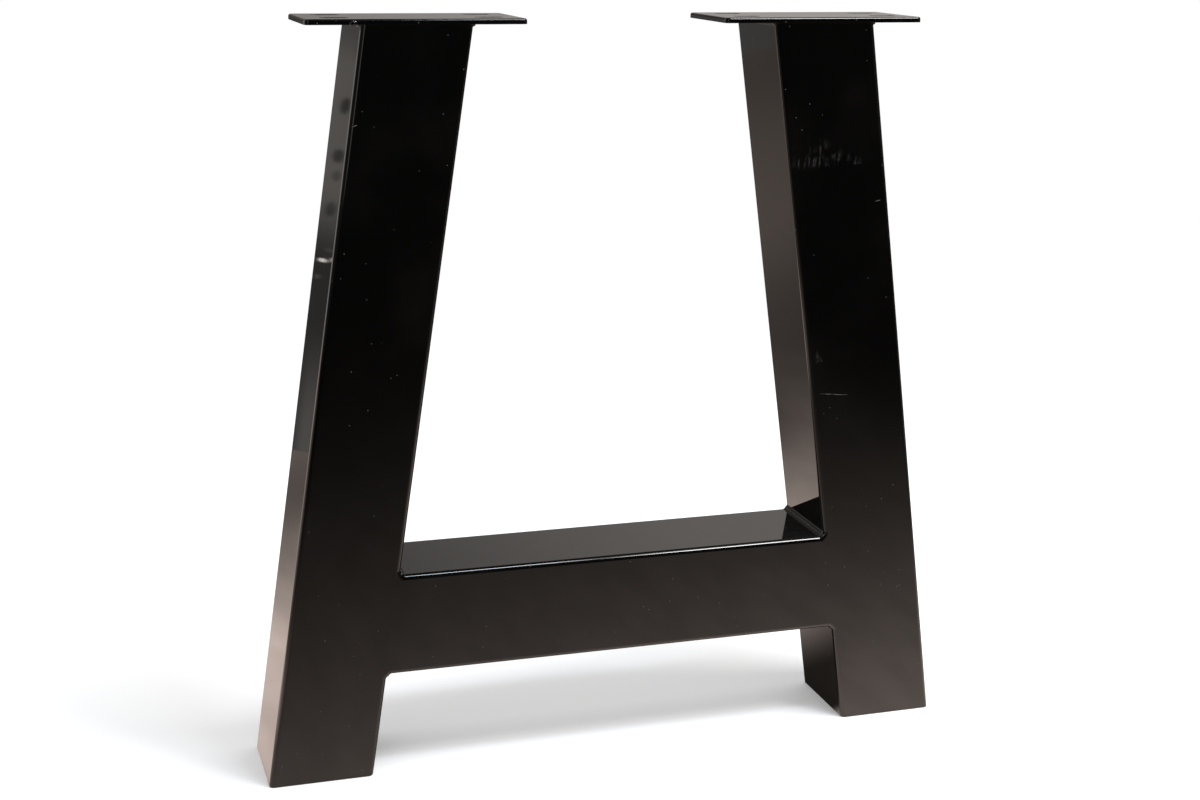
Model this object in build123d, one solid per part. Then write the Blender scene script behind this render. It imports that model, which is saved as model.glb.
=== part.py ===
from build123d import *
import math
import os

# Welded table leg frame: two square-tube legs that lean together towards the top, a cross rail of the
# same tube low between them, and a slotted plate on each leg for the table top.
# +X runs across the frame, +Y through its depth and +Z up. The origin is on the floor, in the middle.

# Overall sizes
HEIGHT = 720.0            # floor to the upper face of the top plates
FOOT_SPREAD = 700.0       # across the outer sides of the legs, at the floor
TOP_SPREAD = 490.0        # across the outer sides of the legs, under the top plates

# Square tube of the legs and the rail
TUBE = 100.0              # outer side of the section
WALL = 2.5
CORNER = 2 * WALL         # outer corner radius, as cold-formed tube has it

# Cross rail
RAIL_CLEARANCE = 104.0    # floor to the underside of the rail

# Top plates, as deep as the tube
PLATE_THICKNESS = 5.0
PLATE_OVERHANG = 50.0     # plate past the tube's section at each end
PLATE_CORNER = 5.0
PLATE_EDGE = 2.0          # rounding of the upper edge

# Slots for the table top's screws, which let the wood move
SLOT_LENGTH = 26.0
SLOT_WIDTH = 11.0
SLOT_END_INSET = 30.0     # slot's middle from the plate's end
SLOT_EDGE_INSET = 25.0    # slot's middle from the plate's long edge

# Foot caps, welded in flush with the rim of the leg
CAP_THICKNESS = 4.0

# Fillet welds, measured along the pieces that they join
RAIL_WELD = 5.0
PLATE_WELD = 3.0
WELD_HOLLOW = 0.7         # how far a weld's face sinks in between its toes
WELD_DIP = 0.05           # how far the dressed welds lie below the front and back of the tubes

# The lean of a leg and what follows from it
leg_top = HEIGHT - PLATE_THICKNESS
lean = math.atan2((FOOT_SPREAD - TOP_SPREAD) / 2, leg_top)
leg_level_width = TUBE / math.cos(lean)
rail_bottom = RAIL_CLEARANCE
rail_top = RAIL_CLEARANCE + TUBE
up_leg = Vector(-math.sin(lean), 0, math.cos(lean))
across_leg = Vector(math.cos(lean), 0, math.sin(lean))
weld_half_depth = TUBE / 2 - WELD_DIP
plate_weld_half_depth = TUBE / 2 - 1.2 * CORNER   # ends just short of the tube's rounded corners
buried = 5 * CORNER       # how far a weld's outline runs on inside the pieces that it joins


def outer_side(z):
    """Point on the right leg's outer side, in the middle of its depth."""
    return Vector(FOOT_SPREAD / 2 - z * math.tan(lean), 0, z)


def inner_side(z):
    """Point on the right leg's inner side, in the middle of its depth."""
    return outer_side(z) - Vector(leg_level_width, 0, 0)


def in_front_plane(point):
    """Place of a point in the frame's front plane, as X and Z."""
    return (point.X, point.Z)


def level_slab(bottom, top):
    """Block between two levels that is wider and deeper than the whole frame."""
    slab = Box(2 * FOOT_SPREAD, 2 * TUBE, top - bottom, align=(Align.CENTER, Align.CENTER, Align.MIN))
    return Pos(0, 0, bottom) * slab


def depth_prism(outline, half_depth):
    """Prism to both sides of the middle of the frame's depth, from an outline in its front plane."""
    return extrude(Plane.XZ * make_face(outline), half_depth, both=True)


def section(inset):
    """Square tube section, drawn in by an inset on every side."""
    side = TUBE - 2 * inset
    return RectangleRounded(side, side, CORNER - inset)


def leg_prism(inset, top):
    """Right leg's section run along its lean and cut level at the floor and at the top."""
    middle = (outer_side(0) + inner_side(0)) / 2
    across = Plane(origin=middle, x_dir=across_leg, z_dir=up_leg)
    run = extrude(across * section(inset), 2 * HEIGHT, both=True)
    return run & level_slab(0, top)


def rail_prism(inset):
    """Rail's section run along X and mitred to the inner sides of both legs."""
    ends = [in_front_plane(inner_side(rail_bottom)), in_front_plane(inner_side(rail_top))]
    mirrored = [(-x, z) for x, z in reversed(ends)]
    between_legs = depth_prism(Polyline(*ends, *mirrored, close=True), TUBE)
    level = Plane.YZ * Pos(0, (rail_bottom + rail_top) / 2)
    return extrude(level * section(inset), FOOT_SPREAD, both=True) & between_legs


def top_plate():
    """Right top plate, with its slots and a rounded upper edge."""
    length = TUBE + 2 * PLATE_OVERHANG
    middle = (outer_side(leg_top) + inner_side(leg_top)) / 2
    places = GridLocations(length - 2 * SLOT_END_INSET, TUBE - 2 * SLOT_EDGE_INSET, 2, 2)
    outline = RectangleRounded(length, TUBE, PLATE_CORNER) - places * SlotOverall(SLOT_LENGTH, SLOT_WIDTH)
    plate = extrude(outline, PLATE_THICKNESS)
    rim = plate.faces().sort_by(Axis.Z)[-1].outer_wire().edges()
    return Pos(middle) * fillet(rim, PLATE_EDGE)


def weld_curve(corner, first, second, size):
    """Hollow face of a weld in the front plane, from toe to toe.

    The weld fills the corner between two pieces, whose faces run off along first and second.
    """
    toes = [corner + first * size, corner + second * size]
    middle = (toes[0] + toes[1]) / 2
    lowest = middle + (corner - middle).normalized() * WELD_HOLLOW
    return ThreePointArc(*[in_front_plane(point) for point in (toes[0], lowest, toes[1])])


def rail_weld(leg_outer, rail_outer):
    """Weld round the rail's right end: hollow above and below it, dressed flush at front and back.

    Its faces run on straight inside the leg and the rail, so that they round off like the tube's edges.
    """
    to_middle = Vector(-1, 0, 0)
    above = weld_curve(inner_side(rail_top), to_middle, up_leg, RAIL_WELD)
    below = weld_curve(inner_side(rail_bottom), up_leg * -1, to_middle, RAIL_WELD)
    outline = []
    for curve, following in ((above, below), (below, above)):
        start = curve @ 0 - (curve % 0) * buried
        end = curve @ 1 + (curve % 1) * buried
        turn = following @ 0 - (following % 0) * buried
        outline += [Line(start, curve @ 0), curve, Polyline(curve @ 1, end, turn)]
    block = depth_prism(outline, weld_half_depth)
    edges = []
    for curve in (above, below):
        middle = curve @ 0.5
        for y in (-weld_half_depth, weld_half_depth):
            edges.append(block.edges().sort_by_distance((middle.X, y, middle.Y))[0])
    return fillet(edges, CORNER) - leg_outer - rail_outer


def plate_weld(side, outwards, leg_outer):
    """Weld under the right top plate, along one side of the leg."""
    curve = weld_curve(side(leg_top), outwards, up_leg * -1, PLATE_WELD)
    toe = curve @ 1
    inside = toe.X - outwards.X * buried
    outline = [curve, Polyline(toe, (inside, toe.Y), (inside, leg_top), curve @ 0)]
    return depth_prism(outline, plate_weld_half_depth) - leg_outer


# Pieces of the right half, and the rail
leg_outer = leg_prism(0, leg_top)
rail_outer = rail_prism(0)
right_half = {
    "leg": leg_outer - leg_prism(WALL, leg_top),
    "foot_cap": leg_prism(WALL, CAP_THICKNESS),
    "top_plate": top_plate(),
    "rail_weld": rail_weld(leg_outer, rail_outer),
    "plate_weld_outer": plate_weld(outer_side, Vector(1, 0, 0), leg_outer),
    "plate_weld_inner": plate_weld(inner_side, Vector(-1, 0, 0), leg_outer),
}

# The left half mirrors the right one
pieces = {"cross_rail": rail_outer - rail_prism(WALL)}
for name, piece in right_half.items():
    pieces["right_" + name] = piece
    pieces["left_" + name] = mirror(piece, about=Plane.YZ)

os.makedirs("parts", exist_ok=True)
for name, piece in pieces.items():
    export_step(piece, f"parts/{name}.step")
    print(f"{name:24s} {len(piece.solids())} solid  {piece.volume / 1000:9.2f} cm3")
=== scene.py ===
"""Welded table leg frame in black lacquer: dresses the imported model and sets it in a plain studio."""

import logging
import math
from dataclasses import dataclass, field
from enum import Enum
from typing import Sequence, Union

import bmesh
import bpy
from mathutils import Matrix, Vector

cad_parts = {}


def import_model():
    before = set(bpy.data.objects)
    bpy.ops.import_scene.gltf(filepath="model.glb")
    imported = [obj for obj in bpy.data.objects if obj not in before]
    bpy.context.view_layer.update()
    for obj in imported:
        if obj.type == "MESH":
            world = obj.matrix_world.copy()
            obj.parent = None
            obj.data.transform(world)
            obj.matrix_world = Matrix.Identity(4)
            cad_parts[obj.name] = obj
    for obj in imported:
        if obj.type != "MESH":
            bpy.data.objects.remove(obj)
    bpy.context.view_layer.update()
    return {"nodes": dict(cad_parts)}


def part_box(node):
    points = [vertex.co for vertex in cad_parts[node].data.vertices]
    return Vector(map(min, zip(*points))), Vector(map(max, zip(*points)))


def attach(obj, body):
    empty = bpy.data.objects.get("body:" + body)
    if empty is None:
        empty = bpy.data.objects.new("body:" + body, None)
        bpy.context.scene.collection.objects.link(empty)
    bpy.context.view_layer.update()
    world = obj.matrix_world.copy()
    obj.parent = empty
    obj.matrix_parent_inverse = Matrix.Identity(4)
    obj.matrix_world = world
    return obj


log = logging.getLogger("table_frame")

MM = 0.001
TUBE_CORNER = 5.0 * MM    # outer corner radius of the tubes
WELD_HOLLOW = 0.7 * MM    # how far a weld's face sinks in between its toes
ABOVE_ALL = 1.0           # height above the whole frame, in metres
WHITE = (1.0, 1.0, 1.0)

Triple = tuple[float, float, float]
Socket = bpy.types.NodeSocket
Value = Union[float, Sequence[float], Socket]


class Side(Enum):
    """Half of the frame, with the sign of its X."""

    LEFT = -1.0
    RIGHT = 1.0


class Coat(Enum):
    """Material slot of the record that a piece takes its finish from."""

    TUBE = "tube"
    PLATE = "plate"
    WELD = "weld"
    CAP = "cap"


@dataclass(frozen=True)
class Ramp:
    """Eased change from start to end as a value goes from low to high."""

    low: float
    high: float
    start: float = 0.0
    end: float = 1.0


def rgba(colour: Triple) -> tuple[float, float, float, float]:
    """Adds full alpha to a colour."""
    return (*colour, 1.0)


def link(thing: bpy.types.Object) -> bpy.types.Object:
    """Links an object into the scene, and gives it back."""
    bpy.context.scene.collection.objects.link(thing)
    return thing


class Graph:
    """Writer of one node tree, whose methods add a node and give its output."""

    def __init__(self, tree: bpy.types.NodeTree) -> None:
        """Starts from an empty tree."""
        tree.nodes.clear()
        self.tree = tree

    def add(self, kind: str, **settings: object) -> bpy.types.Node:
        """Adds a node.

        Args:
            kind: Blender's name for the node type.
            settings: Properties to set on the node.

        Returns:
            The new node.
        """
        node = self.tree.nodes.new(kind)
        for name, value in settings.items():
            setattr(node, name, value)
        return node

    def feed(self, socket: Socket, value: Value) -> None:
        """Links another node's output into a socket, or sets a constant on it."""
        if isinstance(value, Socket):
            self.tree.links.new(value, socket)
        else:
            socket.default_value = value

    def fill(self, node: bpy.types.Node, *values: Value) -> bpy.types.Node:
        """Feeds a node's inputs in their order, and gives the node."""
        for socket, value in zip(node.inputs, values):
            self.feed(socket, value)
        return node

    def run(self, kind: str, inputs: dict[str, Value], **settings: object) -> Socket:
        """Adds a node and feeds its inputs by name.

        Args:
            kind: Blender's name for the node type.
            inputs: Value of each input.
            settings: Properties to set on the node.

        Returns:
            The node's first output.
        """
        node = self.add(kind, **settings)
        for name, value in inputs.items():
            self.feed(node.inputs[name], value)
        return node.outputs[0]

    def math(self, operation: str, *values: Value) -> Socket:
        """Adds a Math node and gives its result."""
        return self.fill(self.add("ShaderNodeMath", operation=operation), *values).outputs[0]

    def chain(self, operation: str, *values: Value) -> Socket:
        """Folds any number of values together with one Math operation."""
        result = values[0]
        for value in values[1:]:
            result = self.math(operation, result, value)
        return result

    def rest(self, share: Value) -> Socket:
        """Gives what a share leaves of one."""
        return self.math("SUBTRACT", 1.0, share)

    def vector(self, operation: str, *values: Value) -> Socket:
        """Adds a Vector Math node and gives its vector."""
        return self.fill(self.add("ShaderNodeVectorMath", operation=operation), *values).outputs["Vector"]

    def parts(self, vector: Value) -> tuple[Socket, ...]:
        """Splits a vector into its three numbers."""
        return tuple(self.fill(self.add("ShaderNodeSeparateXYZ"), vector).outputs)

    def joined(self, x: Value, y: Value, z: Value) -> Socket:
        """Joins three numbers into a vector."""
        return self.fill(self.add("ShaderNodeCombineXYZ"), x, y, z).outputs[0]

    def ramp(self, value: Value, ramp: Ramp) -> Socket:
        """Follows a ramp with a value, and gives the eased number."""
        node = self.add("ShaderNodeMapRange", interpolation_type="SMOOTHSTEP")
        return self.fill(node, value, ramp.low, ramp.high, ramp.start, ramp.end).outputs[0]

    def region(self, *bounds: tuple[Value, Ramp]) -> Socket:
        """Multiplies several ramps, each with the value that it follows."""
        return self.chain("MULTIPLY", *[self.ramp(value, ramp) for value, ramp in bounds])

    def noise(self, place: Value, scale: float, detail: float) -> Socket:
        """Adds a Noise texture of so many features per metre, with finer layers, about 0.5 in the mean."""
        return self.run("ShaderNodeTexNoise", {"Vector": place, "Scale": scale, "Detail": detail})

    def either(self, factor: Value, first: Socket, second: Socket) -> Socket:
        """Mixes two shaders."""
        return self.fill(self.add("ShaderNodeMixShader"), factor, first, second).outputs[0]


class Shading(Graph):
    """Node tree of a new material, which follows Object coordinates."""

    def __init__(self, name: str) -> None:
        """Starts a material with an empty tree."""
        self.material = bpy.data.materials.new(name)
        self.material.use_nodes = True
        super().__init__(self.material.node_tree)
        self.place = self.add("ShaderNodeTexCoord").outputs["Object"]
        self.x, self.y, self.z = self.parts(self.place)

    def surface(self, shader: Socket) -> bpy.types.Material:
        """Makes a shader the material's surface, and gives the material."""
        self.feed(self.add("ShaderNodeOutputMaterial").inputs["Surface"], shader)
        return self.material

    def emission(self, colour: Triple, strength: Value) -> Socket:
        """Adds an emission of one colour."""
        return self.run("ShaderNodeEmission", {"Color": rgba(colour), "Strength": strength})

    def mix(self, factor: Value, first: Value, second: Value) -> Socket:
        """Mixes two colours."""
        node = self.add("ShaderNodeMix", data_type="RGBA")
        for name, value in (("Factor", factor), ("A", first), ("B", second)):
            self.feed(node.inputs[name], value)
        return node.outputs["Result"]

    def stretched(self, scale: Triple, detail: float) -> Socket:
        """Adds a Noise texture with its own features per metre along each axis."""
        return self.noise(self.vector("MULTIPLY", self.place, scale), 1.0, detail)

    def bump(self, height: Value, distance: float, **below: Socket) -> Socket:
        """Bumps the surface, or the Normal below, by a height of so many metres at 1."""
        return self.run("ShaderNodeBump", {"Distance": distance, "Height": height, **below})

    def local(
            self, x: float, z: float, turn: float = 0.0, size: Triple = (1.0, 1.0, 1.0)) -> tuple[Socket, ...]:
        """Gives Object coordinates as seen from a mark on the front.

        Args:
            x: Place of the mark across the frame, in metres.
            z: Its height, in metres.
            turn: Its turn, in radians.
            size: What counts as one along each axis.

        Returns:
            The three coordinates.
        """
        return self.parts(self.run("ShaderNodeMapping", {
            "Vector": self.place, "Location": (x, 0.0, z), "Rotation": (0.0, turn, 0.0), "Scale": size},
            vector_type="TEXTURE"))


class Recipe(Graph):
    """Geometry Nodes tree with named inputs."""

    def __init__(self, name: str, inputs: dict[str, Sequence[str]]) -> None:
        """Starts a tree.

        Args:
            name: Name of the tree.
            inputs: Names of the inputs after the geometry, by their kind.
        """
        super().__init__(bpy.data.node_groups.new(name, "GeometryNodeTree"))
        interface = self.tree.interface
        for kind, labels in {"Geometry": ["Geometry"], **inputs}.items():
            for label in labels:
                interface.new_socket(label, in_out="INPUT", socket_type="NodeSocket" + kind)
        interface.new_socket("Geometry", in_out="OUTPUT", socket_type="NodeSocketGeometry")
        self.given = self.add("NodeGroupInput").outputs
        self.place = self.add("GeometryNodeInputPosition").outputs[0]

    def end(self, geometry: Socket) -> None:
        """Gives a geometry out of the tree."""
        self.feed(self.add("NodeGroupOutput").inputs[0], geometry)

    def end_coated(self, geometry: Socket) -> None:
        """Gives a geometry out of the tree, realized and in the finish that the tree is given."""
        whole = self.run("GeometryNodeRealizeInstances", {"Geometry": geometry})
        self.end(self.run("GeometryNodeSetMaterial", {"Geometry": whole, "Material": self.given["Finish"]}))

    def put_on(self, piece: bpy.types.Object, values: dict[str, object]) -> None:
        """Adds the tree to a piece as a modifier.

        Args:
            piece: Object that gets the modifier.
            values: Value of each named input.
        """
        modifier = piece.modifiers.new(self.tree.name, "NODES")
        modifier.node_group = self.tree
        for item in self.tree.interface.items_tree:
            if item.in_out == "INPUT" and item.name in values:
                modifier[item.identifier] = values[item.name]

    def make(self, name: str, values: dict[str, object]) -> None:
        """Makes a piece on the welds as a plain mesh that rides on the frame.

        Args:
            name: Name of the piece.
            values: Value of each named input.
        """
        piece = link(bpy.data.objects.new(name, bpy.data.meshes.new(name + "_start")))
        self.put_on(piece, values)
        bpy.context.view_layer.update()
        done = piece.evaluated_get(bpy.context.evaluated_depsgraph_get())
        mesh = bpy.data.meshes.new_from_object(done)
        mesh.name = name
        piece.modifiers.clear()
        piece.data = mesh
        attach(piece, "root")
        log.info("%s, %d faces", name, len(mesh.polygons))

    def moved(self, geometry: Socket, **how: Value) -> Socket:
        """Sets the points of a geometry to a Position, or moves them by an Offset."""
        return self.run("GeometryNodeSetPosition", {"Geometry": geometry, **how})

    def smooth(self, geometry: Socket) -> Socket:
        """Shades a geometry smoothly."""
        return self.run("GeometryNodeSetShadeSmooth", {"Geometry": geometry})

    def sharp(self, geometry: Socket, edges: Socket) -> Socket:
        """Keeps some edges of a geometry sharp."""
        inputs = {"Geometry": geometry, "Selection": edges, "Shade Smooth": False}
        return self.run("GeometryNodeSetShadeSmooth", inputs, domain="EDGE")

    def lumps(self, place: Value, scale: float, detail: float) -> Socket:
        """Adds a Noise texture whose mean is about nought."""
        return self.math("SUBTRACT", self.noise(place, scale, detail), 0.5)

    def edge_angle(self) -> Socket:
        """Gives the angle between the faces at an edge."""
        return self.add("GeometryNodeInputMeshEdgeAngle").outputs["Unsigned Angle"]

    def scaled(self, vector: Value, factor: Value) -> Socket:
        """Multiplies a vector by a number."""
        return self.run("ShaderNodeVectorMath", {"Vector": vector, "Scale": factor}, operation="SCALE")

    def dot(self, first: Value, second: Value) -> Socket:
        """Gives the dot product of two vectors."""
        node = self.add("ShaderNodeVectorMath", operation="DOT_PRODUCT")
        return self.fill(node, first, second).outputs["Value"]


@dataclass(frozen=True)
class FrameSizes:
    """Sizes that the finishes and the welds need, in metres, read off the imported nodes."""

    tube: float
    level_width: float
    foot_inner: float
    slope: float
    rail_bottom: float
    rail_top: float
    leg_top: float

    @classmethod
    def from_frame(cls) -> "FrameSizes":
        """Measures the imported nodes.

        Returns:
            The sizes of the loaded frame.
        """
        leg_low, leg_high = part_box("right_leg")
        rail_low, rail_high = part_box("cross_rail")
        plate_low, plate_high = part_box("right_top_plate")
        middle = (plate_low[0] + plate_high[0]) / 2
        level_width = 2 * (middle - leg_low[0])
        slope = (leg_high[0] - middle - level_width / 2) / leg_high[2]
        return cls(
            tube=rail_high[2] - rail_low[2], level_width=level_width, foot_inner=leg_high[0] - level_width,
            slope=slope, rail_bottom=rail_low[2], rail_top=rail_high[2], leg_top=leg_high[2])

    def inner_side(self, z: float) -> float:
        """Gives how far the legs' inner sides are from the middle at a height."""
        return self.foot_inner - self.slope * z

    @property
    def up_leg(self) -> Vector:
        """Direction up the right leg."""
        return Vector((-self.slope, 0.0, 1.0)).normalized()


@dataclass(frozen=True)
class Scratch:
    """Fine scratch on the front of a leg, in millimetres from the frame's middle and the floor.

    Its tilt is in degrees, and its scales are features per metre.
    """

    x: float
    z: float
    length: float
    tilt: float
    width: float = 0.7
    waver: float = 1.2
    waver_scale: float = 120.0
    broken_scale: float = 350.0
    broken: Ramp = Ramp(0.3, 0.55, 0.25, 1.0)

    def mask(self, graph: Shading) -> Socket:
        """Draws a wavering, broken line that thins out towards its ends.

        Args:
            graph: Tree to write to.

        Returns:
            A mask of the scratch.
        """
        half, width, waver = self.length * MM / 2, self.width * MM, self.waver * MM
        along, _, across = graph.local(self.x * MM, self.z * MM, -math.radians(self.tilt))
        bend = graph.noise(graph.place, self.waver_scale, detail=1.0)
        across = graph.math("ADD", across, graph.math("MULTIPLY_ADD", bend, waver, -waver / 2))
        return graph.region(
            (graph.math("ABSOLUTE", along), Ramp(half, half / 2)),
            (graph.math("ABSOLUTE", across), Ramp(width / 2, width / 6)),
            (graph.noise(graph.place, self.broken_scale, detail=1.0), self.broken))


@dataclass(frozen=True)
class Scuff:
    """Row of faint upright rub marks on the front of a leg, lower to the right, in millimetres.

    X and z are those of its lower left corner. Its ramps are in shares of its width and height, and its
    scales are features per metre.
    """

    x: float
    z: float
    width: float
    height: float
    strength: float = 0.26
    lower: Ramp = Ramp(0.1, 1.0, 1.0, 0.2)
    left: Ramp = Ramp(-0.05, 0.12)
    right: Ramp = Ramp(1.02, 0.9)
    foot: Ramp = Ramp(-0.12, 0.06)
    top: Ramp = Ramp(1.0, 0.15)
    streak_scale: Triple = (230.0, 0.0, 24.0)
    streaks: Ramp = Ramp(0.44, 0.66)
    fine_scale: Triple = (900.0, 0.0, 260.0)
    fine: Ramp = Ramp(0.34, 0.62)
    patch_scale: Triple = (75.0, 0.0, 75.0)
    patches: Ramp = Ramp(0.36, 0.56)

    def mask(self, graph: Shading) -> Socket:
        """Draws the row of marks, which thin out upwards.

        Args:
            graph: Tree to write to.

        Returns:
            A mask of the marks.
        """
        size = (self.width * MM, 1.0, self.height * MM)
        along, _, up = graph.local(self.x * MM, self.z * MM, size=size)
        height = graph.math("DIVIDE", up, graph.ramp(along, self.lower))
        row = graph.region((along, self.left), (along, self.right), (height, self.foot), (height, self.top))
        rubbed = graph.region(
            (graph.stretched(self.streak_scale, detail=2.0), self.streaks),
            (graph.stretched(self.fine_scale, detail=2.0), self.fine),
            (graph.stretched(self.patch_scale, detail=1.0), self.patches))
        return graph.chain("MULTIPLY", row, rubbed, self.strength)


@dataclass(frozen=True)
class Lacquer:
    """Gloss black lacquer as it lies on one kind of piece. Scales are features per metre, heights metres."""

    name: str
    colour: Triple = (0.001, 0.00095, 0.0009)
    haze_colour: Triple = (0.0024, 0.0022, 0.002)
    haze_scale: float = 11.0
    haze: Ramp = Ramp(0.4, 0.75)
    refraction: float = 1.5
    roughness: float = 0.03
    roughness_spread: float = 0.03
    smear_scale: Triple = (60.0, 60.0, 14.0)
    dull_roughness: float = 0.5
    wave_scale: float = 7.0
    wave_height: float = 0.00012
    peel_scale: float = 420.0
    peel_height: float = 0.000006
    grain_scale: float = 900.0
    grain_height: float = 0.0
    dust_colour: Triple = (0.3, 0.29, 0.28)
    dust: float = 0.25
    level_from: float = 0.8    # upward part of the normal at which dust starts to stay
    film_scale: float = 160.0
    film: Ramp = Ramp(0.2, 0.8, 0.5, 1.0)
    film_strength: float = 0.05
    speck_scale: float = 95.0
    speck_edge: Ramp = Ramp(0.042, 0.02)
    speck_height: float = 0.0001
    speck_strength: float = 0.45
    marks: tuple[Union[Scratch, Scuff], ...] = ()
    marked_front: Ramp = Ramp(-0.047, -0.049)
    mark_haze: float = 0.9
    mark_strength: float = 0.32

    def material(self) -> bpy.types.Material:
        """Writes the lacquer as a node material.

        Returns:
            The new material.
        """
        graph = Shading(self.name)
        marks, specks = self._marks(graph), self._specks(graph)
        cloud = graph.ramp(graph.noise(graph.place, self.haze_scale, detail=3.0), self.haze)
        haze = graph.math("MAXIMUM", cloud, graph.math("MULTIPLY", marks, self.mark_haze))
        colour = graph.mix(haze, rgba(self.colour), rgba(self.haze_colour))
        for cover in (graph.math("MULTIPLY", marks, self.mark_strength), self._dust(graph, specks)):
            colour = graph.mix(cover, colour, rgba(self.dust_colour))
        smears = graph.stretched(self.smear_scale, detail=4.0)
        rough = graph.math("MULTIPLY_ADD", smears, self.roughness_spread, self.roughness)
        rough = graph.math("MULTIPLY_ADD", graph.math("MAXIMUM", marks, specks), self.dull_roughness, rough)
        return graph.surface(graph.run("ShaderNodeBsdfPrincipled", {
            "Base Color": colour, "Roughness": rough, "IOR": self.refraction,
            "Normal": self._normal(graph, specks)}))

    def _normal(self, graph: Shading, specks: Socket) -> Socket:
        """Bumps the surface with the tube's long waves, the lacquer's peel and the dust in it.

        Args:
            graph: Tree to write to.
            specks: Where grains of dust lie.

        Returns:
            The bumped normal.
        """
        normal = graph.bump(graph.noise(graph.place, self.wave_scale, detail=0.0), self.wave_height)
        normal = graph.bump(
            graph.noise(graph.place, self.peel_scale, detail=1.0), self.peel_height, Normal=normal)
        if self.grain_height:
            grain = graph.noise(graph.place, self.grain_scale, detail=3.0)
            normal = graph.bump(grain, self.grain_height, Normal=normal)
        return graph.bump(specks, self.speck_height, Normal=normal)

    def _specks(self, graph: Shading) -> Socket:
        """Gives a mask of scattered grains of dust under half a millimetre wide."""
        cells = graph.run("ShaderNodeTexVoronoi", {"Vector": graph.place, "Scale": self.speck_scale})
        return graph.ramp(cells, self.speck_edge)

    def _dust(self, graph: Shading, specks: Socket) -> Socket:
        """Lays a thin film of dust on what faces up, and adds the grains.

        Args:
            graph: Tree to write to.
            specks: Where grains of dust lie.

        Returns:
            How much dust covers the lacquer.
        """
        upwards = graph.parts(graph.add("ShaderNodeNewGeometry").outputs["Normal"])[2]
        film = graph.region(
            (upwards, Ramp(self.level_from, 1.0, 0.0, self.dust)),
            (graph.noise(graph.place, self.film_scale, detail=5.0), self.film))
        return graph.math(
            "MAXIMUM", graph.math("MULTIPLY", film, self.film_strength),
            graph.math("MULTIPLY", specks, self.speck_strength))

    def _marks(self, graph: Shading) -> Value:
        """Draws the scratches and scuffs on the front of the legs.

        Args:
            graph: Tree to write to.

        Returns:
            A mask of the marks, or nought where there are none.
        """
        if not self.marks:
            return 0.0
        drawn = graph.chain("MAXIMUM", *[mark.mask(graph) for mark in self.marks])
        return graph.math("MULTIPLY", drawn, graph.ramp(graph.y, self.marked_front))


@dataclass(frozen=True)
class Easing:
    """Rounding of a piece's cut edges, up to a height, in metres."""

    radius: float = 0.0
    highest: float = 0.0


@dataclass
class EdgeFinish:
    """Modifiers that take the edge off cut ends and make rounded edges shade smoothly between flats.

    The merge distance is in metres and the angles are in degrees.
    """

    merge: float = 0.01 * MM
    sharp_angle: float = 32.0
    eased_angle: float = 40.0
    flat_angle: float = 0.5
    easing_steps: int = 3
    recipe: Recipe = field(init=False)

    def __post_init__(self) -> None:
        """Builds the tree that merges the triangles and marks the sharp edges and those to ease."""
        recipe = self.recipe = Recipe("smooth_rounds", {
            "Float": ("Merge distance", "Sharp angle", "Eased angle", "Eased up to")})
        given, angle = recipe.given, recipe.edge_angle()
        free = recipe.run("GeometryNodeSetMeshNormal", {
            "Mesh": given["Geometry"], "Remove Custom": True, "Edge Sharpness": False,
            "Face Sharpness": False}, mode="SHARPNESS")
        merged = recipe.run("GeometryNodeMergeByDistance", {
            "Geometry": free, "Distance": given["Merge distance"]})
        low = recipe.math("LESS_THAN", recipe.parts(recipe.place)[2], given["Eased up to"])
        eased = recipe.math("MULTIPLY", recipe.math("GREATER_THAN", angle, given["Eased angle"]), low)
        left_sharp = recipe.math("SUBTRACT", recipe.math("GREATER_THAN", angle, given["Sharp angle"]), eased)
        recipe.end(recipe.run("GeometryNodeStoreNamedAttribute", {
            "Geometry": recipe.sharp(merged, left_sharp), "Name": "bevel_weight_edge", "Value": eased},
            domain="EDGE", data_type="FLOAT"))

    def put_on(self, node: bpy.types.Object, easing: Easing) -> None:
        """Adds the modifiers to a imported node.

        Args:
            node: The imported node's object.
            easing: How its cut edges are eased.
        """
        self.recipe.put_on(node, {
            "Merge distance": self.merge, "Sharp angle": math.radians(self.sharp_angle),
            "Eased angle": math.radians(self.eased_angle), "Eased up to": easing.highest})
        if easing.radius:
            flats = node.modifiers.new("whole_flats", "DECIMATE")
            flats.decimate_type = "DISSOLVE"
            flats.angle_limit = math.radians(self.flat_angle)
            edge = node.modifiers.new("eased_edges", "BEVEL")
            edge.limit_method = "WEIGHT"
            edge.width = easing.radius
            edge.segments = self.easing_steps
        weighted = node.modifiers.new("flat_sides", "WEIGHTED_NORMAL")
        weighted.keep_sharp = True
        weighted.weight = 100


@dataclass(frozen=True)
class BeadForm:
    """Width of a bead, how far it stands proud of its weld and how lumpy it is, in metres."""

    width: float
    proud: float
    lump: float

    def times(self, factor: float) -> "BeadForm":
        """Gives the same form at another size."""
        return BeadForm(self.width * factor, self.proud * factor, self.lump * factor)


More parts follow.
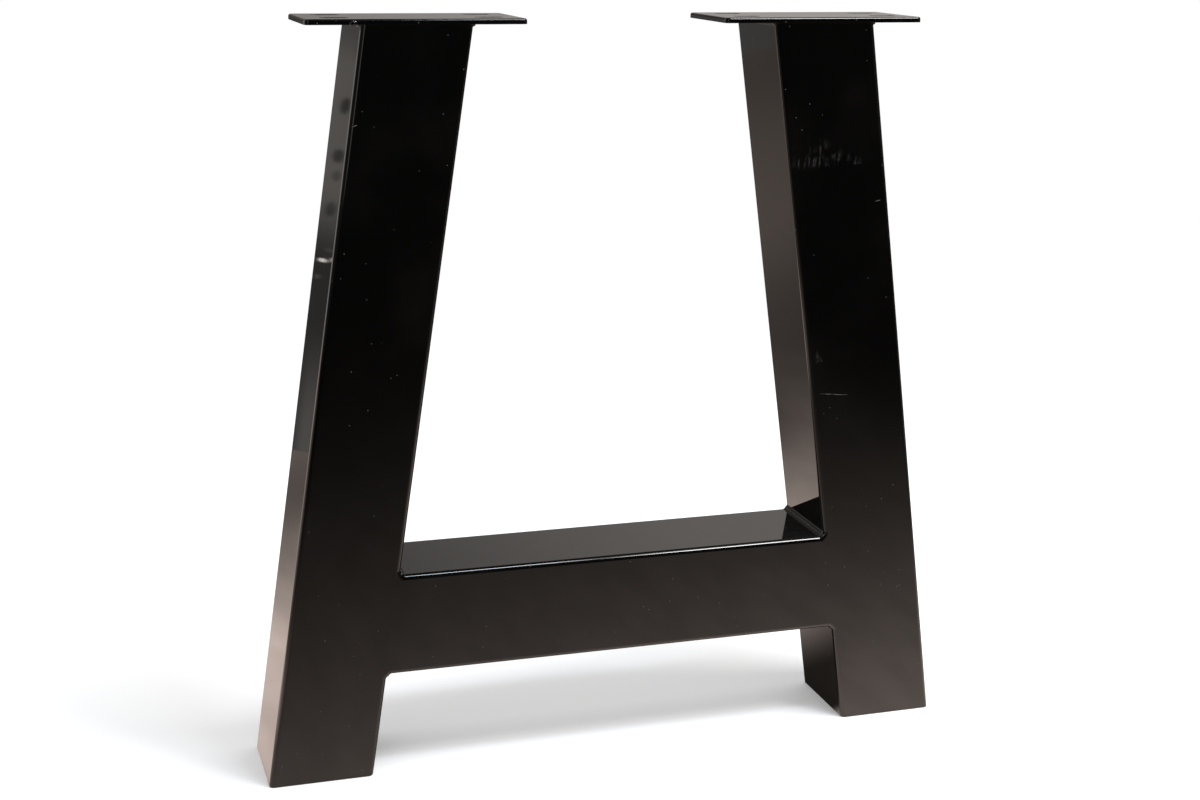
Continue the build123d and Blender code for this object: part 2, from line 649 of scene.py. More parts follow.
@dataclass(frozen=True)
class Bead:
    """Bead of one weld, which runs through the depth in the corner between two pieces.

    The pieces' faces run off from the corner along first and second. A face that recedes is rounded
    away at the front and the back of the tube, and the bead follows it.
    """

    name: str
    corner: Vector
    first: Vector
    second: Vector
    first_recedes: bool
    half_depth: float
    seat: float
    form: BeadForm
    seed: float

    @property
    def out(self) -> Vector:
        """Direction from the corner out of the weld."""
        return (self.first + self.second).normalized()

    @property
    def across(self) -> Vector:
        """Direction from toe to toe."""
        return (self.first - self.second).normalized()

    @property
    def recede(self) -> Vector:
        """Way of the corner for each metre that the faces recede."""
        moved = self.first + self.second if self.first_recedes else self.first
        return -moved / math.sin(self.first.angle(self.second))

    @property
    def radius(self) -> float:
        """Radius of the bead's rounded face."""
        return (self.form.width ** 2 / 4 + self.form.proud ** 2) / (2 * self.form.proud)

    @property
    def sink(self) -> float:
        """Distance from the corner out to the middle of that radius."""
        face = (self.first + self.second).length * self.seat / 2 - WELD_HOLLOW
        return face + self.form.proud - self.radius


@dataclass
class WeldBeads:
    """The rippled beads on the welds of the rail and the top plates. Scales are features per metre."""

    sizes: FrameSizes
    finish: bpy.types.Material
    rail_form: BeadForm = BeadForm(1.7 * MM, 0.35 * MM, 0.25 * MM)
    rail_seat: float = 5.0 * MM
    rail_inset: float = 1.2 * MM
    plate_form: BeadForm = BeadForm(2.8 * MM, 0.7 * MM, 0.9 * MM)
    plate_seat: float = 3.0 * MM
    plate_inset: float = 2.0 * MM
    left_outer_fill: float = 1.5
    ripple_pitch: float = 2.3 * MM
    ripple_height: float = 0.2 * MM
    ripple_bow: float = 2.2
    wander_scale: float = 130.0
    wander: float = 2.5
    lump_scale: float = 260.0
    strand_points: int = 300
    ring_points: int = 36
    thinnest: float = 0.0004
    first_seed: float = 10.0
    side_seed: float = 40.0
    place_seed: float = 100.0

    def build(self) -> None:
        """Lays every bead."""
        recipe = self._recipe()
        for bead in (bead for side in Side for bead in self._beads(side)):
            recipe.make(bead.name, {
                "Corner": bead.corner, "Out": bead.out, "Across": bead.across, "Recede": bead.recede,
                "Half depth": bead.half_depth, "Flat half depth": self.sizes.tube / 2 - TUBE_CORNER,
                "Rounding": TUBE_CORNER, "Radius": bead.radius, "Sink": bead.sink, "Width": bead.form.width,
                "Ripple pitch": self.ripple_pitch, "Ripple height": self.ripple_height,
                "Lump height": bead.form.lump, "Seed": bead.seed, "Finish": self.finish})

    def _beads(self, side: Side) -> list[Bead]:
        """Places the beads of one half.

        Args:
            side: Which half.

        Returns:
            The beads above and below the rail, and inside and outside the leg under its plate.
        """
        sizes, name, half = self.sizes, side.name.lower(), self.sizes.tube / 2
        side_seed = self.first_seed + self.side_seed * (side.value + 1.0)

        def mirrored(x: float, z: float) -> Vector:
            """Puts a point or direction of the right half on this one."""
            return Vector((side.value * x, 0.0, z))

        up = mirrored(sizes.up_leg.x, sizes.up_leg.z)
        inwards, outwards = mirrored(-1.0, 0.0), mirrored(1.0, 0.0)
        beads = []
        for label, z, along in (("above", sizes.rail_top, up), ("below", sizes.rail_bottom, -up)):
            beads.append(Bead(
                f"{name}_rail_bead_{label}", mirrored(sizes.inner_side(z), z), inwards, along, True,
                half - self.rail_inset, self.rail_seat, self.rail_form, side_seed + z * self.place_seed))
        inner = sizes.inner_side(sizes.leg_top)
        outer = inner + sizes.level_width
        full = self.left_outer_fill if side is Side.LEFT else 1.0
        for label, x, along, fill in (("inner", inner, inwards, 1.0), ("outer", outer, outwards, full)):
            beads.append(Bead(
                f"{name}_plate_bead_{label}", mirrored(x, sizes.leg_top), along, -up, False,
                half - self.plate_inset, self.plate_seat, self.plate_form.times(fill),
                side_seed + x * self.place_seed))
        return beads

    def _recipe(self) -> Recipe:
        """Builds the tree of a bead: a rounded strand along the corner, rippled and lumpy, thin at its ends.

        Returns:
            The tree.
        """
        recipe = Recipe("weld_bead", {
            "Vector": ("Corner", "Out", "Across", "Recede"),
            "Float": (
                "Half depth", "Flat half depth", "Rounding", "Radius", "Sink", "Width", "Ripple pitch",
                "Ripple height", "Lump height", "Seed"),
            "Material": ("Finish",)})
        given, place, depth = recipe.given, recipe.place, recipe.parts(recipe.place)[1]
        from_middle = recipe.math("ABSOLUTE", depth)
        line = recipe.run("GeometryNodeCurvePrimitiveLine", {
            "Start": recipe.joined(0.0, recipe.math("MULTIPLY", given["Half depth"], -1.0), 0.0),
            "End": recipe.joined(0.0, given["Half depth"], 0.0)})
        points = recipe.run("GeometryNodeResampleCurve", {"Curve": line, "Count": self.strand_points})
        past = recipe.math("MAXIMUM", recipe.math("SUBTRACT", from_middle, given["Flat half depth"]), 0.0)
        left = recipe.math(
            "SUBTRACT", recipe.math("POWER", given["Rounding"], 2.0), recipe.math("POWER", past, 2.0))
        rounded = recipe.math("SQRT", recipe.math("MAXIMUM", left, 0.0))
        drop = recipe.math("SUBTRACT", given["Rounding"], rounded)
        path = recipe.vector("ADD", given["Corner"], recipe.scaled(given["Out"], given["Sink"]))
        path = recipe.vector("ADD", path, recipe.scaled(given["Recede"], drop))
        strand = recipe.moved(points, Position=recipe.vector("ADD", path, recipe.joined(0.0, depth, 0.0)))
        ring = recipe.run("GeometryNodeCurvePrimitiveCircle", {
            "Resolution": self.ring_points, "Radius": given["Radius"]})
        end = recipe.math("SUBTRACT", given["Half depth"], from_middle)
        end = recipe.math("MAXIMUM", recipe.math("DIVIDE", end, given["Radius"]), self.thinnest)
        end = recipe.math("MINIMUM", end, 1.0)
        taper = recipe.math("SQRT", recipe.math("MULTIPLY", end, recipe.math("SUBTRACT", 2.0, end)))
        solid = recipe.run("GeometryNodeCurveToMesh", {
            "Curve": strand, "Profile Curve": ring, "Scale": taper, "Fill Caps": True})
        sideways = recipe.dot(recipe.vector("SUBTRACT", place, given["Corner"]), given["Across"])
        bow = recipe.math("POWER", recipe.math("DIVIDE", sideways, given["Width"]), 2.0)
        shifted = recipe.vector("ADD", place, recipe.joined(given["Seed"], given["Seed"], 0.0))
        wander = recipe.noise(shifted, self.wander_scale, detail=1.0)
        step = recipe.chain(
            "ADD", recipe.math("DIVIDE", depth, given["Ripple pitch"]),
            recipe.math("MULTIPLY", bow, self.ripple_bow), recipe.math("MULTIPLY", wander, self.wander))
        saw = recipe.math("MULTIPLY_ADD", recipe.math("FRACT", step), 2.0, -1.0)
        scallop = recipe.rest(recipe.math("POWER", recipe.math("ABSOLUTE", saw), 2.0))
        ripple = recipe.math("MULTIPLY", scallop, given["Ripple height"])
        lump = recipe.lumps(shifted, self.lump_scale, detail=2.0)
        raised = recipe.math("MULTIPLY_ADD", lump, given["Lump height"], ripple)
        normal = recipe.add("GeometryNodeInputNormal").outputs[0]
        offset = recipe.scaled(normal, recipe.math("MULTIPLY", raised, taper))
        recipe.end_coated(recipe.smooth(recipe.moved(solid, Offset=offset)))
        return recipe


@dataclass
class WeldDrop:
    """Drop of weld at the front of the left plate's outer bead, in metres."""

    finish: bpy.types.Material
    centre: Triple = (-0.252, -0.0494, 0.7166)
    radii: Triple = (0.0036, 0.0015, 0.0026)
    lump: float = 0.0009
    lump_scale: float = 1.3
    subdivisions: int = 5
    seed: float = 4.0

    def build(self) -> None:
        """Makes the drop."""
        self._recipe().make("left_plate_weld_drop", {
            "Centre": self.centre, "Radii": self.radii, "Lump height": self.lump, "Seed": self.seed,
            "Finish": self.finish})

    def _recipe(self) -> Recipe:
        """Builds the tree of the drop: a flat ball with a lumpy skin.

        Returns:
            The tree.
        """
        recipe = Recipe("weld_drop", {
            "Vector": ("Centre", "Radii"), "Float": ("Lump height", "Seed"), "Material": ("Finish",)})
        given, place = recipe.given, recipe.place
        ball = recipe.run("GeometryNodeMeshIcoSphere", {"Radius": 1.0, "Subdivisions": self.subdivisions})
        shifted = recipe.vector("ADD", place, recipe.joined(given["Seed"], 0.0, 0.0))
        lump = recipe.lumps(shifted, self.lump_scale, detail=1.0)
        swelling = recipe.scaled(place, recipe.math("MULTIPLY", lump, given["Lump height"]))
        swollen = recipe.vector("ADD", recipe.vector("MULTIPLY", place, given["Radii"]), swelling)
        shaped = recipe.moved(ball, Position=recipe.vector("ADD", swollen, given["Centre"]))
        recipe.end_coated(recipe.smooth(shaped))
        return recipe


@dataclass
class DressedJoints:
    """Flush strips over the dressed welds at the front and back of the rail's ends, in metres.

    Each strip covers the groove along the leg's rounded corner, and its rim sinks into the tubes. The
    ramps of its domed face are in shares of its width and height.
    """

    sizes: FrameSizes
    finish: bpy.types.Material
    width: float = 10.0 * MM
    onto_leg: float = 3.0 * MM
    shorter: float = 2.1 * TUBE_CORNER
    depth: float = 0.5 * MM
    proud: float = 0.02 * MM
    sunk: float = 0.03 * MM
    dome_across: Ramp = Ramp(0.5, 0.2)
    dome_along: Ramp = Ramp(0.5, 0.42)
    rim_angle: float = 0.6
    grid: tuple[int, int, int] = (24, 2, 60)

    def build(self) -> None:
        """Lays every strip."""
        recipe, sizes = self._recipe(), self.sizes
        for side in Side:
            for label, facing in (("front", -1.0), ("back", 1.0)):
                recipe.make(f"{side.name.lower()}_dressed_joint_{label}", {
                    "Width": self.width, "Depth": self.depth, "Height": sizes.tube - self.shorter,
                    "Side": side.value, "Facing": facing, "Flipped": side.value * facing < 0,
                    "Middle": (sizes.rail_bottom + sizes.rail_top) / 2,
                    "From middle": sizes.foot_inner + self.onto_leg, "Slope": sizes.slope,
                    "Half tube": sizes.tube / 2, "Proud": self.proud, "Sunk": self.sunk,
                    "Finish": self.finish})

    def _recipe(self) -> Recipe:
        """Builds the tree of a strip: a thin block that leans with the leg, with a gently domed face.

        Returns:
            The tree.
        """
        recipe = Recipe("dressed_joint", {
            "Float": (
                "Width", "Depth", "Height", "Side", "Facing", "Middle", "From middle", "Slope", "Half tube",
                "Proud", "Sunk"),
            "Bool": ("Flipped",), "Material": ("Finish",)})
        given = recipe.given
        block = recipe.run("GeometryNodeMeshCube", {
            "Size": recipe.joined(given["Width"], given["Depth"], given["Height"]),
            **{f"Vertices {axis}": count for axis, count in zip("XYZ", self.grid)}})
        across, inside, along = recipe.parts(recipe.place)
        dome = recipe.region(
            (recipe.math("DIVIDE", recipe.math("ABSOLUTE", across), given["Width"]), self.dome_across),
            (recipe.math("DIVIDE", recipe.math("ABSOLUTE", along), given["Height"]), self.dome_along))
        rise = recipe.math("MULTIPLY", dome, recipe.math("ADD", given["Proud"], given["Sunk"]))
        rise = recipe.math("SUBTRACT", rise, given["Sunk"])
        level = recipe.chain(
            "ADD", recipe.math("SUBTRACT", inside, recipe.math("MULTIPLY", given["Depth"], 0.5)),
            recipe.math("MULTIPLY", rise, recipe.math("GREATER_THAN", inside, 0.0)), given["Half tube"])
        z = recipe.math("ADD", along, given["Middle"])
        x = recipe.math("SUBTRACT", recipe.math("ADD", across, given["From middle"]),
                        recipe.math("MULTIPLY", z, given["Slope"]))
        leaning = recipe.moved(block, Position=recipe.joined(
            recipe.math("MULTIPLY", x, given["Side"]), recipe.math("MULTIPLY", level, given["Facing"]), z))
        turned = recipe.run("GeometryNodeFlipFaces", {"Mesh": leaning, "Selection": given["Flipped"]})
        rim = recipe.math("GREATER_THAN", recipe.edge_angle(), self.rim_angle)
        recipe.end_coated(recipe.sharp(recipe.smooth(turned), rim))
        return recipe


@dataclass(frozen=True)
class Viewpoint:
    """Camera of the picture that the frame is matched to, in metres, degrees and pixels."""

    position: Triple = (-0.5378, -1.6695, 0.8066)
    yaw: float = -17.519
    pitch: float = -15.916
    roll: float = 0.731
    focal: float = 1836.29
    centre: tuple[float, float] = (595.68, 442.02)
    picture: tuple[int, int] = (1200, 800)

    def place(self) -> None:
        """Makes the camera and hands it to the scene."""
        yaw, pitch, roll = (math.radians(angle) for angle in (self.yaw, self.pitch, self.roll))
        forward = Vector((
            -math.sin(yaw) * math.cos(pitch), math.cos(yaw) * math.cos(pitch), math.sin(pitch)))
        level = forward.cross(Vector((0.0, 0.0, 1.0))).normalized()
        upright = level.cross(forward)
        right = level * math.cos(roll) + upright * math.sin(roll)
        up = upright * math.cos(roll) - level * math.sin(roll)
        lens = bpy.data.cameras.new("camera")
        lens.sensor_fit = "HORIZONTAL"
        lens.lens = lens.sensor_width * self.focal / self.picture[0]
        lens.shift_x = (self.picture[0] / 2 - self.centre[0]) / self.picture[0]
        lens.shift_y = (self.centre[1] - self.picture[1] / 2) / self.picture[0]
        camera = link(bpy.data.objects.new("camera", lens))
        turn = Matrix((right, up, -forward)).transposed()
        camera.matrix_world = Matrix.Translation(Vector(self.position)) @ turn.to_4x4()
        bpy.context.scene.camera = camera


@dataclass(frozen=True)
class Lamp:
    """Soft rectangular lamp, in metres and watts."""

    name: str
    position: Triple
    target: Triple
    size: tuple[float, float]
    watts: float
    colour: Triple = WHITE

    def place(self) -> None:
        """Makes the lamp."""
        light = bpy.data.lights.new(self.name, "AREA")
        light.shape = "RECTANGLE"
        light.size, light.size_y = self.size
        light.energy = self.watts
        light.color = self.colour
        lamp = link(bpy.data.objects.new(self.name, light))
        aim = Vector(self.target) - Vector(self.position)
        lamp.location = self.position
        lamp.rotation_euler = aim.to_track_quat("-Z", "Y").to_euler()


def set_up(name: str, mesh: bpy.types.Mesh, coat: bpy.types.Material, mirrored_only: bool) -> None:
    """Puts a piece of the studio into the scene.

    Args:
        name: Name of the piece.
        mesh: Its mesh.
        coat: Its material.
        mirrored_only: Whether only the gloss shows it.
    """
    piece = link(bpy.data.objects.new(name, mesh))
    mesh.materials.append(coat)
    if mirrored_only:
        piece.visible_camera = False
        piece.visible_diffuse = False
        piece.visible_shadow = False
        coat.cycles.emission_sampling = "NONE"


@dataclass(frozen=True)
class Blot:
    """Soft dark or bright place on an upright surface, in metres."""

    x: float
    z: float
    width: float
    height: float
    light: float
    edge: Ramp = Ramp(1.4, 0.2)

    def mask(self, graph: Shading) -> Socket:
        """Gives where the blot is."""
        squares = [
            graph.math("POWER", graph.math("DIVIDE", graph.math("SUBTRACT", place, middle), size / 2), 2.0)
            for place, middle, size in ((graph.x, self.x, self.width), (graph.z, self.z, self.height))]
        return graph.ramp(graph.math("ADD", *squares), self.edge)


@dataclass(frozen=True)
class Card:
    """Upright card behind the left leg, lit in soft bands, which only the gloss shows. In metres."""

    y: float = 0.5
    left: float = -0.47
    right: float = -0.29
    bottom: float = 0.2
    top: float = 0.9
    tint: Triple = (1.0, 0.93, 0.88)
    edge_lean: float = -0.1455
    bright_edge: Ramp = Ramp(-0.443, -0.43, 1.1, 0.45)
    low_band: Ramp = Ramp(0.37, 0.22, 0.0, 0.11)
    high_band: Ramp = Ramp(0.43, 0.53, 0.055, 0.21)
    top_fade: Ramp = Ramp(0.66, 0.71, 1.0, 0.65)
    least: float = 0.02
    blots: tuple[Blot, ...] = (
        Blot(-0.356, 0.619, 0.013, 0.022, -0.15), Blot(-0.3634, 0.5604, 0.016, 0.018, -0.14),
        Blot(-0.3672, 0.537, 0.011, 0.014, -0.09), Blot(-0.3707, 0.4974, 0.014, 0.02, -0.09),
        Blot(-0.382, 0.449, 0.012, 0.006, 0.05), Blot(-0.376, 0.415, 0.008, 0.006, 0.08),
        Blot(-0.377, 0.4355, 0.011, 0.005, 1.5), Blot(-0.3888, 0.4386, 0.003, 0.006, 1.6),
        Blot(-0.3675, 0.692, 0.03, 0.05, -0.12),
    )

    def place(self) -> None:
        """Makes the card."""
        mesh = bpy.data.meshes.new("reflected_card")
        low, high = ([(x, self.y, z) for x in (self.left, self.right)] for z in (self.bottom, self.top))
        mesh.from_pydata([*low, *reversed(high)], [], [(0, 1, 2, 3)])
        set_up("reflected_card", mesh, self._light(), mirrored_only=True)

    def _light(self) -> bpy.types.Material:
        """Writes the card's light: bright above, dark in the middle, half bright below.

        Returns:
            The new material.
        """
        graph = Shading("card_light")
        leaning = graph.math("MULTIPLY_ADD", graph.z, self.edge_lean, graph.x)
        below = graph.region((graph.z, self.low_band), (leaning, self.bright_edge))
        light = graph.math("ADD", graph.ramp(graph.z, self.high_band), below)
        light = graph.math("MULTIPLY", light, graph.ramp(graph.z, self.top_fade))
        for blot in self.blots:
            light = graph.math("MULTIPLY_ADD", blot.mask(graph), blot.light, light)
        return graph.surface(graph.emission(self.tint, graph.math("MAXIMUM", light, self.least)))


@dataclass(frozen=True)
class Board:
    """Warm board on the floor: bright round the feet, with a painted shadow of the rail under it, and dark
    further off. In metres.
    """

    tint: Triple = (1.0, 0.82, 0.73)
    fall_before: float = 0.38
    fall_behind: float = 0.32
    behind_from: float = 0.36
    brighter_right: Ramp = Ramp(-0.5, 0.5, 1.12, 2.5)
    beside_x: Ramp = Ramp(-0.3, -0.42, 0.0, 0.17)
    beside_y: Ramp = Ramp(0.1, 0.4)
    corner_x: Ramp = Ramp(-0.46, -0.6, 0.0, 1.2)
    corner_y: Ramp = Ramp(0.75, 0.45)
    dim_x: Ramp = Ramp(0.21, 0.34, 0.0, 0.9)
    dim_y: Ramp = Ramp(-0.06, 0.04)
    reach: Ramp = Ramp(0.65, 1.05, 1.0, 0.4)
    patch_scale: Triple = (26.0, 8.0, 0.0)
    patches: Ramp = Ramp(0.3, 0.7, 0.94, 1.06)
    least: float = 0.012
    further_from: Ramp = Ramp(0.8, 1.9, 0.0, 0.37)
    further_to: Ramp = Ramp(2.0, 3.4, 1.0, 0.65)
    hidden_x: Ramp = Ramp(-0.12, 0.08, 0.0, 0.95)
    hidden_y: Ramp = Ramp(0.62, 0.85)
    shade_front: Ramp = Ramp(-0.06, -0.02, 0.0, 0.97)
    shade_back: Ramp = Ramp(0.34, 0.06)
    shade_sides: Ramp = Ramp(0.36, 0.3)

    def light(self, graph: Shading) -> Socket:
        """Lights the board.

        Args:
            graph: Tree to write to.

        Returns:
            Strength of the light.
        """
        x, y, aside = graph.x, graph.y, graph.math("ABSOLUTE", graph.x)
        before = graph.math("MAXIMUM", graph.math("MULTIPLY", y, -1 / self.fall_before), 0.0)
        behind = graph.math("MULTIPLY_ADD", y, 1 / self.fall_behind, -self.behind_from / self.fall_behind)
        far = graph.math("ADD", before, graph.math("MAXIMUM", behind, 0.0))
        level = graph.chain(
            "ADD", graph.ramp(x, self.brighter_right), graph.region((x, self.beside_x), (y, self.beside_y)),
            graph.region((x, self.corner_x), (y, self.corner_y)))
        near = graph.chain(
            "MULTIPLY", graph.math("EXPONENT", graph.math("MULTIPLY", far, -1.0)), level,
            graph.rest(graph.region((x, self.dim_x), (y, self.dim_y))), graph.ramp(aside, self.reach),
            graph.ramp(graph.stretched(self.patch_scale, detail=2.0), self.patches))
        further = graph.region((y, self.further_from), (y, self.further_to))
        hidden = graph.region((x, self.hidden_x), (y, self.hidden_y))
        # painted shadow that the rail casts on the board
        shade = graph.region((y, self.shade_front), (y, self.shade_back), (aside, self.shade_sides))
        lit = graph.chain("ADD", near, self.least, further)
        return graph.chain("MULTIPLY", lit, graph.rest(shade), graph.rest(hidden))


@dataclass(frozen=True)
class Walls:
    """Grey wall behind the frame and a panel overhead, brighter to the right, and little else. In metres."""

    tint: Triple = (1.0, 0.93, 0.88)
    lower: Ramp = Ramp(-0.2, 1.7, 0.3, 0.47)
    upper: Ramp = Ramp(-0.2, 1.7, 0.19, 0.57)
    rise: Ramp = Ramp(0.9, 1.6)
    low: Ramp = Ramp(0.6, 0.85, 0.06, 1.0)
    low_left: Ramp = Ramp(-0.25, -0.5, 0.0, 0.8)
    dark_x: Ramp = Ramp(-0.5, -0.9, 0.0, 0.45)
    dark_z: Ramp = Ramp(0.6, 0.9)
    sides: float = 0.08
    top: Ramp = Ramp(3.4, 2.4)
    panel_from: Ramp = Ramp(0.5, 2.0, 0.0, 5.0)
    panel_to: Ramp = Ramp(3.8, 3.2)
    panel_middle: float = -1.5
    panel_depth: Ramp = Ramp(1.4, 1.0)
    least: float = 0.012
    skin: float = 0.01    # what is this close to the plane of a wall is on it

    def light(self, graph: Shading, corner: Triple) -> Socket:
        """Lights the walls and the ceiling.

        Args:
            graph: Tree to write to.
            corner: Highest corner of the room, at the right behind the frame.

        Returns:
            Strength of the light.
        """
        x, y, z = graph.x, graph.y, graph.z
        on_sides, on_back, on_ceiling = (
            graph.math("GREATER_THAN", place, limit - self.skin)
            for place, limit in zip((graph.math("ABSOLUTE", x), y, z), corner))
        lower = graph.ramp(x, self.lower)
        change = graph.math("SUBTRACT", graph.ramp(x, self.upper), lower)
        back = graph.chain(
            "MULTIPLY", graph.math("MULTIPLY_ADD", graph.ramp(z, self.rise), change, lower),
            graph.math("MAXIMUM", graph.ramp(z, self.low), graph.ramp(x, self.low_left)),
            graph.rest(graph.region((x, self.dark_x), (z, self.dark_z))), on_back)
        walls = graph.math("MULTIPLY_ADD", on_sides, self.sides, back)
        from_middle = graph.math("ABSOLUTE", graph.math("SUBTRACT", y, self.panel_middle))
        panel = graph.region((x, self.panel_from), (x, self.panel_to), (from_middle, self.panel_depth))
        return graph.chain(
            "ADD", graph.math("MULTIPLY", walls, graph.ramp(z, self.top)),
            graph.math("MULTIPLY", panel, on_ceiling), self.least)


@dataclass(frozen=True)
class Window:
    """Window on the left, which draws a fine line on the legs' rounded edges. In degrees and metres.

    It is turned from the left towards the back, and lit from its lowest height up.
    """

    turn: float
    half: float
    strength: float
    lowest: float = -1.0
    soft: float = 6.0

    def light(self, graph: Shading) -> Socket:
        """Lights the window.

        Args:
            graph: Tree to write to.

        Returns:
            Strength of the light.
        """
        turn = graph.math("ARCTAN2", graph.y, graph.math("MULTIPLY", graph.x, -1.0))
        off = graph.math("ABSOLUTE", graph.math("SUBTRACT", turn, math.radians(self.turn)))
        edge = Ramp(math.radians(self.half + self.soft), math.radians(self.half), 0.0, self.strength)
        return graph.math("MULTIPLY", graph.ramp(off, edge), graph.math("GREATER_THAN", graph.z, self.lowest))


@dataclass(frozen=True)
class Room:
    """Dim room round the frame, which only the gloss shows. In metres."""

    low: Triple = (-5.0, -6.0, 0.3 * MM)
    high: Triple = (5.0, 3.6, 4.0)
    board: Board = Board()
    board_top: float = 0.01
    walls: Walls = Walls()
    windows: tuple[Window, ...] = (Window(39.0, 17.0, 1.2), Window(-58.0, 6.0, 0.9, 0.3))
    windows_from: Ramp = Ramp(-0.45, -0.8)

    def place(self) -> None:
        """Makes the room."""
        mesh = bpy.data.meshes.new("room")
        box = bmesh.new()
        low, high = Vector(self.low), Vector(self.high)
        bmesh.ops.create_cube(box, size=1.0)
        bmesh.ops.scale(box, verts=box.verts, vec=high - low)
        bmesh.ops.translate(box, verts=box.verts, vec=(low + high) / 2)
        bmesh.ops.reverse_faces(box, faces=box.faces)
        box.to_mesh(mesh)
        box.free()
        set_up("room", mesh, self._light(), mirrored_only=True)

    def _light(self) -> bpy.types.Material:
        """Writes what the lacquer mirrors: the board below, the walls above, and the windows on both.

        Returns:
            The new material.
        """
        graph = Shading("dim_room")
        panes = graph.chain("MAXIMUM", *[window.light(graph) for window in self.windows])
        windows = graph.math("MULTIPLY", panes, graph.ramp(graph.x, self.windows_from))
        board, walls = self.board.light(graph), self.walls.light(graph, self.high)
        warm = graph.emission(self.board.tint, graph.math("ADD", board, windows))
        grey = graph.emission(self.walls.tint, graph.math("ADD", walls, windows))
        return graph.surface(graph.either(graph.math("LESS_THAN", graph.z, self.board_top), grey, warm))


@dataclass(frozen=True)
class Floor:
    """Round pale floor whose rim fades into the background, in metres and shares of its radius."""

    radius: float = 3.0
    segments: int = 96
    colour: Triple = (0.9, 0.9, 0.9)
    glow: float = 0.14
    fade_from: float = 0.3
    fade_to: float = 0.95

    def place(self) -> None:
        """Lays the floor."""
        mesh = bpy.data.meshes.new("floor")
        disc = bmesh.new()
        bmesh.ops.create_circle(disc, cap_ends=True, segments=self.segments, radius=self.radius)
        disc.to_mesh(mesh)
        disc.free()
        set_up("floor", mesh, self._paint(), mirrored_only=False)

    def _paint(self) -> bpy.types.Material:
        """Writes the floor's pale paint, which turns clear towards the rim.

        Returns:
            The new material.
        """
        graph = Shading("pale_floor")
        length = graph.fill(graph.add("ShaderNodeVectorMath", operation="LENGTH"), graph.place)
        rim = Ramp(self.radius * self.fade_from, self.radius * self.fade_to)
        pale = graph.run("ShaderNodeBsdfDiffuse", {"Color": rgba(self.colour)})
        lit = graph.fill(graph.add("ShaderNodeAddShader"), pale, graph.emission(WHITE, self.glow)).outputs[0]
        clear = graph.run("ShaderNodeBsdfTransparent", {})
        return graph.surface(graph.either(graph.ramp(length.outputs["Value"], rim), lit, clear))


@dataclass(frozen=True)
class Studio:
    """Plain pale floor, white background, soft lamps and what the lacquer mirrors."""

    daylight: Triple = (0.85, 0.85, 0.85)
    floor: Floor = Floor()
    room: Room = Room()
    card: Card = Card()
    lamps: tuple[Lamp, ...] = (
        Lamp("strip_lamp", (1.05, -0.72, 2.0), (0.2, -0.1, 0.2), (1.1, 0.3), 34.0),
        Lamp("cool_lamp", (0.32, -0.75, 2.0), (0.0, -0.1, 0.2), (0.4, 0.22), 9.0, (0.8, 0.89, 1.0)),
    )

    def build(self) -> None:
        """Makes the background, the floor, the room, the card and the lamps."""
        self._background()
        for piece in (self.floor, self.room, self.card, *self.lamps):
            piece.place()

    def _background(self) -> None:
        """Gives the world its white background and its even daylight."""
        world = bpy.data.worlds.new("white_background")
        world.use_nodes = True
        bpy.context.scene.world = world
        graph = Graph(world.node_tree)
        rays = graph.add("ShaderNodeLightPath").outputs
        seen = graph.chain("MAXIMUM", *[
            rays[f"Is {kind} Ray"] for kind in ("Camera", "Glossy", "Transmission")])
        daylight, white = (
            graph.run("ShaderNodeBackground", {"Color": rgba(colour)}) for colour in (self.daylight, WHITE))
        output = graph.add("ShaderNodeOutputWorld")
        graph.feed(output.inputs["Surface"], graph.either(seen, daylight, white))


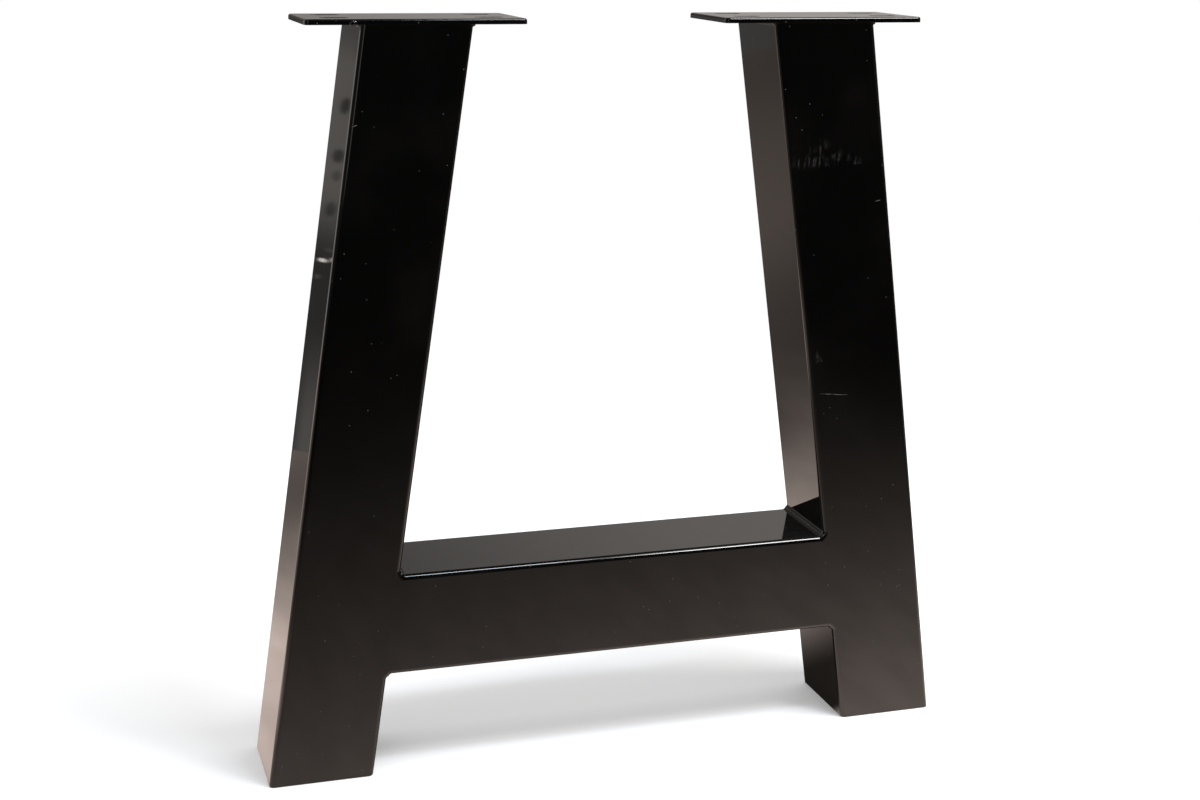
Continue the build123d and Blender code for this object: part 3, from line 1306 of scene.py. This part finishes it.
@dataclass
class TableFrame:
    """The welded frame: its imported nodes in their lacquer, with beads and strips on the welds."""

    nodes: dict[str, bpy.types.Object]
    sizes: FrameSizes
    finishes: dict[Coat, Lacquer]
    bead_finish: Lacquer
    foot_easing: float = 1.2 * MM
    plate_easing: float = 0.3 * MM

    def dress(self) -> None:
        """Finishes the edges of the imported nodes, gives each its lacquer and dresses the welds."""
        edges = EdgeFinish()
        coats = {coat: finish.material() for coat, finish in self.finishes.items()}
        easing = {
            "leg": Easing(self.foot_easing, self.sizes.rail_bottom),
            "plate": Easing(self.plate_easing, ABOVE_ALL)}
        for name, node in self.nodes.items():
            coat = next(coat for coat in Coat if name.endswith(self.endings(coat)))
            for slot in node.material_slots:
                slot.material = coats[coat]
            edges.put_on(node, easing.get(name.split("_")[-1], Easing()))
            log.info("%s in %s", name, coats[coat].name)
        WeldBeads(self.sizes, self.bead_finish.material()).build()
        WeldDrop(coats[Coat.WELD]).build()
        DressedJoints(self.sizes, coats[Coat.TUBE]).build()

    @staticmethod
    def endings(coat: Coat) -> tuple[str, ...]:
        """Gives the endings of the node names that carry a coat."""
        return {
            Coat.TUBE: ("leg", "rail"),
            Coat.PLATE: ("plate",),
            Coat.WELD: ("weld", "weld_outer", "weld_inner"),
            Coat.CAP: ("cap",),
        }[coat]


def main() -> None:
    """Builds the dressed frame and its studio."""
    logging.basicConfig(level=logging.INFO, format="%(name)s: %(message)s")
    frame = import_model()
    bpy.context.scene.view_settings.view_transform = "Standard"
    marks = (
        Scratch(222.0, 353.5, 34.0, -6.0, 0.6), Scratch(258.0, 546.0, 7.0, 14.0),
        Scratch(-253.0, 628.0, 6.0, 20.0), Scuff(166.0, 582.0, 78.0, 38.0), Scuff(199.0, 388.0, 9.0, 14.0))
    finishes = {
        Coat.TUBE: Lacquer("tube_lacquer", marks=marks),
        Coat.PLATE: Lacquer("plate_lacquer", roughness=0.1, roughness_spread=0.06, dust=0.6),
        Coat.WELD: Lacquer("weld_lacquer", roughness=0.06, roughness_spread=0.06, dust=0.3),
        Coat.CAP: Lacquer("cap_lacquer", roughness=0.38, roughness_spread=0.15, dust=0.0),
    }
    # Lighter base colour than the tubes': partly duller paint on the weld, partly a painted sheen that makes
    # the bead's strip show grey.
    bead_finish = Lacquer(
        "bead_lacquer", colour=(0.014, 0.013, 0.012), haze_colour=(0.022, 0.02, 0.019), roughness=0.4,
        grain_height=0.00001, dust=0.3)
    TableFrame(frame["nodes"], FrameSizes.from_frame(), finishes, bead_finish).dress()
    Studio().build()
    Viewpoint().place()


if __name__ == "__main__":
    main()
